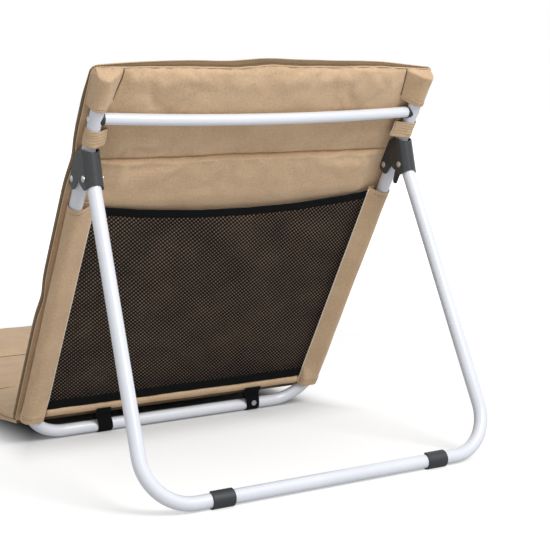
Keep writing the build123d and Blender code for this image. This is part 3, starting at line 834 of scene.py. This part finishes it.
SEAM_GAP, FOLD_GAP = 0.02, 0.3
START, SEAM, FOLD, END = SEAT_SEAMS
floor_pad("rear_floor_pad", START, SEAM + SEAM_GAP, "seat", "seat_pad_rear")
floor_pad("middle_floor_pad", SEAM - SEAM_GAP, FOLD + FOLD_GAP, "seat", "seat_pad_middle")
floor_pad("front_floor_pad", FOLD - FOLD_GAP, END, "seat_front", "seat_pad_front")

# %% Welts of the floor pads
OUT, UP = FLOOR_AXES[0], FLOOR_AXES[2]
SEWN_FOLD = FOLD - 2 * FOLD_GAP


def floor_rim(low, high, sign, c):
    shape = seat_shape_for(low, high)
    return [shape(sign, y, c) + OUT * sign * 0.4 * MM for y in steps(low - 1, high + 1, 48)]


for side, sign in SIDES:
    for part, low, high, body in (("rear", START, SEAM, "seat"), ("middle", SEAM, FOLD, "seat"),
                                  ("front", SEWN_FOLD, END, "seat_front")):
        cord(f"{part}_pad_welt_{side}", floor_rim(low, high, sign, 1.0), 1.1, tan_canvas, body, UP)
        stitches(f"{part}_pad_stitches_{side}", [floor_rim(low, high, sign, 0.74)], body, away=UP)

# %% Quilting seams of the floor pads, drawn as brown cords that paint the crease shade
def seam_shade_line(low, high, y):
    """Line across a pad for a brown cord that paints the crease shade; it rises at the ends, where
    the cloth rolls down to the welt.
    """
    shape = seat_shape_for(low, high)
    return [shape(a, y, 1.0) + UP * (0.3 + 0.9 * ramp(abs(a), 0.84, 0.95)) * MM
            for a in steps(-0.992, 0.992, 100)]


# Brown thread lies along each seam, and its dark colour paints the shade of the crease.
cord("quilting_seam_line", seam_shade_line(SEAM, FOLD, SEAM - 4.4), 0.6, brown_thread_and_crease_shade, "seat", UP)
cord("front_seam_line", seam_shade_line(SEWN_FOLD, END, FOLD - 4.4), 0.6, brown_thread_and_crease_shade, "seat_front", UP)

# %% [markdown]
# ## Sleeves and loops round the tubes
# Each sleeve is one strip of canvas folded round the tube and sewn down beside it: round over the
# tube, and drawn to a flat edge on the side of the mesh. At the floor the tube bends inwards, so
# the sleeve opens out there to a full round slot. A short loop of the same cloth holds the tube
# above the bracket, creased across because it is tight. Both are a skin with a little thickness,
# open at both ends.

# %% Cloth tubes
def teardrop(count, centre_x, radius, edge_x, edge_r):
    """Outline round the tube, drawn to a small round edge on the inner side."""
    half = math.pi - math.acos((radius - edge_r) / (centre_x - edge_x))
    split, small = round(count * 0.6), round(count * 0.16)
    around = [(centre_x, radius, turn) for turn in steps(-half, half, split)]
    around += [(edge_x, edge_r, turn) for turn in steps(half, 2 * math.pi - half, small)]
    corners = [(x + r * math.cos(turn), r * math.sin(turn)) for x, r, turn in around]
    outline = []
    for n, (x, f) in enumerate(corners):
        outline.append((x, f))
        if n in (split, len(corners) - 1):
            next_x, next_f = corners[(n + 1) % len(corners)]
            outline += [(x + (next_x - x) * t, f + (next_f - f) * t) for t in steps(0, 1, 6)[1:-1]]
    return outline


def cloth_tube(name, node, sign, outline_at, rows, place):
    """Skin along rows, open at both ends; place(x, f, row, share) gives each point.
    """
    count, points, faces = len(outline_at(rows[0])), [], []
    for row in rows:
        for n, (x, f) in enumerate(outline_at(row)):
            points.append(place(x, f, row, n / count))
    for r in range(len(rows) - 1):
        for n in range(count):
            m = (n + 1) % count
            face = [r * count + n, (r + 1) * count + n, (r + 1) * count + m, r * count + m]
            faces.append(face if sign > 0 else face[::-1])
    piece = softer(cut_cloth(name, points, faces, [tan_canvas]), CANVAS_THICK, 1.0)
    sewn_on(piece, "back", node)
    outline = outline_at(200)
    width = sum(math.dist(p, q) for p, q in zip(outline, outline[1:] + outline[:1]))


def off_tube(sign, x, f, s, swell):
    """Point of a cloth tube, swell millimetres off its outline but clear of the pad."""
    dx, length = x - TUBE_X, math.hypot(x - TUBE_X, f) or 1.0
    return on_back(sign * (x + dx / length * swell), s,
                   min(f + f / length * swell, PAD_REAR - 1.3))


# %% Sleeves
HEM_STITCHES = (42.5, 47.0, 428.5)


def sleeve_outline(row):
    low = ramp(78 - row, 0, 34)
    edge_r = 1.3 + 8.6 * low
    return teardrop(64, TUBE_X + 0.8 * low, 10.0, 227.0 + edge_r + low, edge_r)


def sleeve_place(sign, over=0.0):
    def place(x, f, row, share):
        flat = (TUBE_X - x) / 22
        s = row + (4.0 * max(0.0, flat) ** 2 + 2.5 * max(0.0, -flat)) * ramp(row, 396, 436)
        hem = (1 - bell(row, 428.5, 1.6)) * ramp(row, 422, 426) + ramp(50 - row, 0, 3)
        slack = 0.5 * rumple(share * 66, row * 0.3, 16, 10 + sign)
        slack += 0.7 * rumple(row, 2, 75, 12 + sign)
        ends = bell(row, 424, 12) + bell(row, 48, 10)
        slack += 0.9 * rumple(row, share * 40, 11, 14 + sign) * ends
        swell = 0.55 * hem + max(-0.3, slack * (1 if f < 0 else 0.3)) + over
        return off_tube(sign, x, f, s, swell)
    return place


extra_rows = {36.0, 47.0, 49.5, 424.0, 427.0, 428.5, 430.0, 434.5}     # for the hems' edges
sleeve_rows = sorted(set(steps(34, 436, 76)) | extra_rows)
for side, sign in SIDES:
    cloth_tube(f"tube_sleeve_{side}", f"sleeve_{side}", sign, sleeve_outline, sleeve_rows,
               sleeve_place(sign))
    over = sleeve_place(sign, 1.1)
    inner = [over(*min(sleeve_outline(row)), row, 0.8) - BACK_AXES[2] * MM
             for row in steps(37, 432, 130)]
    cord(f"sleeve_edge_{side}", inner, 0.9, pale_thread, "back")
    hems = [[over(x, f, row, 0.3) for x, f in sorted(sleeve_outline(row)) if f < 0.2]
            for row in HEM_STITCHES]
    stitches(f"sleeve_stitches_{side}", hems, "back", thick=0.35)

# %% Tight loops
def loop_outline(edge_x):
    return lambda row: teardrop(60, TUBE_X, 10.2, edge_x, 1.8)


def loop_place(sign, over=0.0):
    def place(x, f, row, share):
        flat = max(0.0, (TUBE_X - x) / 22)
        s = row + 1.8 * flat * math.sin(row / 5) - 2.5 * flat ** 2 * ramp(560 - row, 0, 20)
        crease = math.sin(row / 0.75 + 1.6 * math.sin(share * 6.3 + row / 9))
        swell = max(-0.5, 0.2 * crease + 0.6 * rumple(share * 62, row, 9, 16 + sign)) + over
        return off_tube(sign, x, f, s, swell)
    return place


LOOP_LOW, LOOP_HIGH = 536.5, 562.5
LOOP_EDGES = {1: 235.0, -1: 231.5}       # the right loop is a little wider
for side, sign in SIDES:
    outline = loop_outline(LOOP_EDGES[sign])
    cloth_tube(f"tight_loop_{side}", f"tube_loop_{side}", sign, outline,
               steps(LOOP_LOW, LOOP_HIGH, 46), loop_place(sign))
    over = loop_place(sign, 0.9)
    inner = [over(*min(outline(row)), row, 0.8)
             for row in steps(LOOP_LOW + 1, LOOP_HIGH - 1, 24)]
    cord(f"loop_edge_{side}", inner, 0.7, pale_thread, "back")

# %% [markdown]
# ## Pockets over the tube tops
# The mat hangs on two blind pockets at its top corners. Each is a patch of canvas over the end of
# the tube. It is stretched from a seam on its inner side over the tube to the edge of the pad,
# gathers in small darts where it is sewn into the top seam, and ends in a rounded hem below.

# %% Tube pockets
TUBE_END = 639.4                 # top of the plug in the tube, up the back
POCKET_LOW, POCKET_TOP = 593.0, 647.0
HEM_ROW = 597.0


def over_tube(x_in, x_out, radius):
    """Cloth line from the pad at x_in, taut over the tube, back to the pad at x_out."""
    low = PAD_REAR - 0.5
    round_tube = [(TUBE_X + radius * math.cos(t), radius * math.sin(t))
                  for t in steps(math.pi * 1.02, math.pi * 1.98, 60)]
    hull = []
    for x, f in [(x_in, low)] + round_tube + [(x_out, low)]:
        while len(hull) > 1:
            (x0, f0), (x1, f1) = hull[-2:]
            if (x1 - x0) * (f - f0) - (f1 - f0) * (x - x0) > 0:
                break
            hull.pop()
        hull.append((x, f))
    lengths = [0.0]
    for p, q in zip(hull, hull[1:]):
        lengths.append(lengths[-1] + math.dist(p, q))
    line, n = [], 0
    for want in steps(0, lengths[-1], 44):
        while n < len(hull) - 2 and lengths[n + 1] < want:
            n += 1
        t = min(1.0, (want - lengths[n]) / (lengths[n + 1] - lengths[n]))
        line.append(tuple(p + (q - p) * t for p, q in zip(hull[n], hull[n + 1])))
    return line


def pocket_line(row, sign):
    """Cloth line across the pocket at one row; its lower corners are turned in round."""
    turn_in = 5.0 - math.sqrt(max(0.0, 25 - max(0.0, HEM_ROW - row) ** 2))
    x_in = 229.5 - 6.5 * ramp(row, 590, 648) + turn_in
    x_out = min(266.6 - 0.3 * turn_in, back_half(min(row, 645.9), sign) - 0.6)
    return over_tube(x_in, x_out, TUBE_R + 1.3)


def pocket_point(sign, row, share, x, f, over=0.0):
    """Lower the cloth to the pad above the tube's end, and add darts, hem and slack."""
    mid = math.sin(math.pi * share)
    s, top = row + top_wave(sign * x, row), POCKET_TOP + top_wave(sign * x, PAD_TOP)
    close = ramp(s, TUBE_END, top)
    darts = 0.6 * (1 + math.sin(share * 24 + 1.2 * sign)) * ramp(row, 622, 640)
    darts *= mid * (1 - 0.7 * close)
    fold = 4.5 * bell(share, 0.34 + 0.1 * (1 - close), 0.05)
    fold *= ramp(close, 0, 0.2) * (1 - ramp(close, 0.85, 1))
    slack = 0.6 * max(0.0, 0.5 + rumple(share * 48, row * 0.7, 15, 20 + sign)) * mid
    hem = 0.7 * (1 - ramp(row, 596.6, 598)) * mid ** 0.4
    rise = (PAD_REAR - f) * (1 - 0.9 * close) + darts - fold + slack + hem + over
    return on_back(sign * x, s, PAD_REAR - max(0.3, rise))


def pocket_row(sign, row, over=0.0):
    line = pocket_line(row, sign)
    return [pocket_point(sign, row, n / (len(line) - 1), x, f, over)
            for n, (x, f) in enumerate(line)]


for side, sign in SIDES:
    grid = [pocket_row(sign, row) for row in [POCKET_LOW - 0.9] + steps(POCKET_LOW, POCKET_TOP, 40)]
    faces = sheet_faces(len(grid), len(grid[0]), (0, 3, 2, 1) if sign > 0 else (1, 2, 3, 0))
    pocket = cut_cloth(f"top_pocket_{side}", sum(grid, []), faces, [tan_canvas])
    sewn_on(softer(pocket, CANVAS_THICK), "back", f"tube_pocket_{side}")
    # A brown cord along the pocket's inner edge, where it is tucked into the pad; its dark colour
    # paints the shade in that crease.
    inner = [(pocket_line(row, sign)[0][0], row) for row in steps(599, 645, 40)]
    tuck_shade = [on_back(sign * x, row + top_wave(sign * x, row), rear_face(x, row) - 0.4)
            for x, row in inner]
    cord(f"pocket_tuck_{side}", tuck_shade, 0.7, brown_thread_and_crease_shade, "back")
    hem = pocket_row(sign, HEM_ROW, over=0.7)[3:-3]
    stitches(f"pocket_stitches_{side}", [hem], "back", thick=0.35)

# %% [markdown]
# ## Hem, mesh and edge tape
# Below the mesh the cover ends in a soft padded roll. The mesh itself is one sheet, stretched
# between the sleeves, sagging at its top edge. It isn't dead flat: knitted mesh ripples a little
# where it is pulled unevenly, and those ripples bend the dot pattern. Black tape is folded over
# its top and bottom edges.

# %% Hem
HEM_LOW, HEM_HIGH, HEM_HALF = 26.5, 50.5, 224.3


def hem_shape(a, t, c):
    """Cross-section of a roll: t from its lower to its upper side, c from rear to front."""
    s, x = HEM_LOW + (HEM_HIGH - HEM_LOW) * t, a * 225
    round_off = 1 - (2 * t - 1) ** 4 * 0.55
    rear = 4.0 - 7.2 * round_off + 7.6 * ramp(0.6 - t, 0, 0.6)
    rear -= 0.8 * rumple(x, s, 30, 31) + 0.5 * rumple(x, 0, 12, 32) * ramp(t, 0.5, 1)
    front = PAD_REAR - 0.4 - 1.5 * (1 - round_off)
    sag = 1.2 * rumple(x, 4, 90, 33) * (1 - c)
    return on_back(a * HEM_HALF, s + sag, rear + (front - rear) * c)


hem, _ = boxed_panel("padded_hem", steps(-1, 1, 96), steps(0, 1, 9), steps(0, 1, 5), hem_shape,
                     [tan_canvas])
sewn_on(softer(hem), "back", "lower_hem")

# %% Mesh sheet
def mesh_top(a):
    return MESH_SIDE - MESH_SAG * (1 - a * a)


def mesh_ripple(x, s):
    a = x / MESH_HALF
    still = (1 - a ** 6) * ramp(s, 56, 110) * (1 - ramp(s, 376, 424))
    pull = math.sin((x * 0.92 + s * 0.8) / 27) * 0.5 + math.sin((x - s * 0.9) / 36) * 0.5
    return still * (1.4 * pull + 1.6 * rumple(x, s, 70, 40))


mesh_points, across, rows = [], steps(-1, 1, 92), steps(0, 1, 76)
for t in rows:
    for a in across:
        s = MESH_LOW + (mesh_top(a) - MESH_LOW) * t
        mesh_points.append(on_back(a * MESH_HALF, s, mesh_ripple(a * MESH_HALF, s)))
mesh_faces = sheet_faces(len(rows), len(across))
mesh_sheet = cut_cloth("mesh_sheet", mesh_points, mesh_faces, [mesh_yarn])
sewn_on(mesh_sheet, "back", "mesh_pocket")

# %% Edge tape
def edge_tape(name, low, high, follow, node):
    def tape_shape(a, t, c):
        s = low + (high - low) * t + (mesh_top(a) - MESH_SIDE if follow else 0.0)
        thick = 1.5 * (1 - abs(2 * t - 1) ** 6 * 0.5)
        x = a * (MESH_HALF - 0.2)
        ruck = 0.5 * rumple(x, s, 12, 50) + 0.6 * rumple(x, 1, 40, 51)
        return on_back(x, s + 0.8 * rumple(x, 2, 34, 52), (2 * c - 1) * thick + ruck)

    piece, _ = boxed_panel(name, steps(-1, 1, 110), steps(0, 1, 6), steps(0, 1, 2), tape_shape,
                           [black_tape])
    return sewn_on(softer(piece), "back", node)


top_tape = edge_tape("edge_tape_top", MESH_SIDE - 12, MESH_SIDE + 2, True, "pocket_binding_top")
low_tape = edge_tape("edge_tape_bottom", MESH_LOW - 2, MESH_LOW + 16, False,
                     "pocket_binding_bottom")

# %% [markdown]
# ## Straps
# Two straps of webbing tie the mat to the floor bar. Each is sewn under the hem, goes down round
# the bar and comes back up, so it is a ribbon that follows a teardrop line. A flat ribbon with a
# real thickness shows its ribbed face and its cut edges, which a simulation would only blur.

# %% Webbing straps
STRAP_THICK = 1.6
BEHIND_BAR = [(42.0, -4.4), (38.0, -5.2), (34.0, -4.8), (30.0, -3.6), (26.0, -2.8), (22.0, -3.2),
              (17.0, -4.9), (12.0, -6.8)]
BEFORE_BAR = [(12.0, 6.6), (18.0, 4.4), (24.0, 3.4)]


def strap(side, x, width, lean, flare):
    """Ribbon down behind the bar, round it and up in front; lean and flare act at its top."""
    radius = TUBE_R + STRAP_THICK / 2 + 0.05
    leave = math.radians(66.9)           # where the webbing parts from the bar
    round_bar = [(radius * math.cos(t), radius * math.sin(t))
                 for t in steps(-leave, leave - 2 * math.pi, 44)]
    line, points = BEHIND_BAR + round_bar + BEFORE_BAR, []
    sides = steps(-width / 2, width / 2, 8)
    for n, (s, f) in enumerate(line):
        up = ramp(s, 4, 34)
        points += [on_back(x + w * (1 + flare * up) + lean * up,
                           s + 0.3 * rumple(w, n * 3, 8, 70), f) for w in sides]
    faces = sheet_faces(len(line), len(sides))
    piece = cut_cloth(f"webbing_strap_{side}", points, faces, [black_webbing])
    sewn_on(softer(piece, STRAP_THICK), "back", f"strap_{side}")


strap("left", 121.0, 25.0, 9.0, 0.0)
strap("right", -146.0, 24.0, 9.0, 0.3)

# %% [markdown]
# ## Camera
# The photograph was taken from behind and to the left of the sitter's back, from just under the
# top of the chair. The lens is long, so the tubes hardly converge. The place and the turn were
# worked out from the corners of the frame.

# %% Camera
camera = put("camera", bpy.data.cameras.new("camera"))
camera.data.lens, camera.data.sensor_width = 89.31, 36.0
turn, tilt, roll = math.radians(30.613), math.radians(-6.799), math.radians(-1.238)
forward = Vector((-math.sin(turn) * math.cos(tilt), -math.cos(turn) * math.cos(tilt),
                  math.sin(tilt)))
aim = forward.to_track_quat("-Z", "Y").to_matrix() @ Matrix.Rotation(roll, 3, "Z")
place = Vector((959.53, 2162.75, 494.58)) * MM
camera.matrix_world = Matrix.Translation(place) @ aim.to_4x4()
bpy.context.scene.camera = camera
print("camera right axis:", [round(v, 4) for v in aim.col[0]])

# %% [markdown]
# ## Floor and light
# A product picture on white: a pale floor that keeps only soft contact shadows, a broad lamp
# above and behind the chair's back, and even light from all round. The lights stay plain, so that
# each colour renders about as written. The white behind comes from the world and the floor as the
# camera sees them, not from more light on the chair. Under the mat and close round it the floor's
# glow is taken away, so the floor there is painted shade on top of the lamp's own shadows.

# %% Floor
FLOOR_HALF = 60
GLOW_NEAR, GLOW_FAR = 0.49, 1.0          # at 0.8 m from the origin and at 2.2 m
MAT_CENTRE_Y = -0.285

floor_mesh = bpy.data.meshes.new("floor")
floor_mesh.from_pydata([(x * FLOOR_HALF, y * FLOOR_HALF, 0)
                        for x, y in ((-1, -1), (1, -1), (1, 1), (-1, 1))], [], [(0, 1, 2, 3)])
floor = put("floor", floor_mesh)
paper, tree, shader = new_finish("matt_white_paper", Roughness=1.0, Specular_IOR_Level=0.0)
shader.inputs["Base Color"].default_value = linear("CDCDCD")
seen = add(tree, "ShaderNodeLightPath").outputs["Is Camera Ray"]
where = add(tree, "ShaderNodeNewGeometry").outputs["Position"]
near = add(tree, "ShaderNodeVectorMath", {0: where}, operation="LENGTH").outputs["Value"]
away = spread(tree, near, 0.8, 2.2, GLOW_NEAR, GLOW_FAR)
# Close round the mat the glow is taken away, so the floor there shows painted shade.
centred = add(tree, "ShaderNodeVectorMath", {0: where, 1: (0, -MAT_CENTRE_Y, 0)}).outputs[0]
folded = add(tree, "ShaderNodeVectorMath", {0: centred}, operation="ABSOLUTE").outputs[0]
ways = add(tree, "ShaderNodeSeparateXYZ", {0: folded}).outputs
beside = spread(tree, ways["X"], 0.205, 0.315, interpolation_type="SMOOTHSTEP")
beyond = spread(tree, ways["Y"], 0.405, 0.64, interpolation_type="SMOOTHSTEP")
outside_painted_shade = calc(tree, "MAXIMUM", beside, beyond)
glow = calc(tree, "MULTIPLY", seen, calc(tree, "MULTIPLY", away, outside_painted_shade))
shader.inputs["Emission Color"].default_value = (1, 1, 1, 1)
tree.links.new(glow, shader.inputs["Emission Strength"])
floor_mesh.materials.append(paper)
floor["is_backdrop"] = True

# %% Lights
world = bpy.data.worlds.new("studio")
bpy.context.scene.world = world
world.use_nodes = True
sky = world.node_tree
paths = add(sky, "ShaderNodeLightPath").outputs
direct = calc(sky, "MAXIMUM", paths["Is Camera Ray"], paths["Is Glossy Ray"])
backdrop = sky.nodes["Background"].inputs
backdrop["Color"].default_value = (1, 1, 1, 1)
sky.links.new(spread(sky, direct, 0.0, 1.0, 0.55), backdrop["Strength"])

lamp = put("key", bpy.data.lights.new("key", "AREA"))
lamp.data.shape, lamp.data.size, lamp.data.energy = "DISK", 1.8, 90
lamp.location = (-0.6, 3.15, 2.75)
towards_chair = Vector((0, 0.3, 0.25)) - lamp.location
lamp.rotation_euler = towards_chair.to_track_quat("-Z", "Y").to_euler()
bpy.context.scene.view_settings.view_transform = "Standard"

# %% Sizes and the end
low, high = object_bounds()
{"cad": [list(cad_low), list(cad_high)], "visual": [list(low), list(high)]}
print("visual box:", [round(v, 4) for v in high - low])
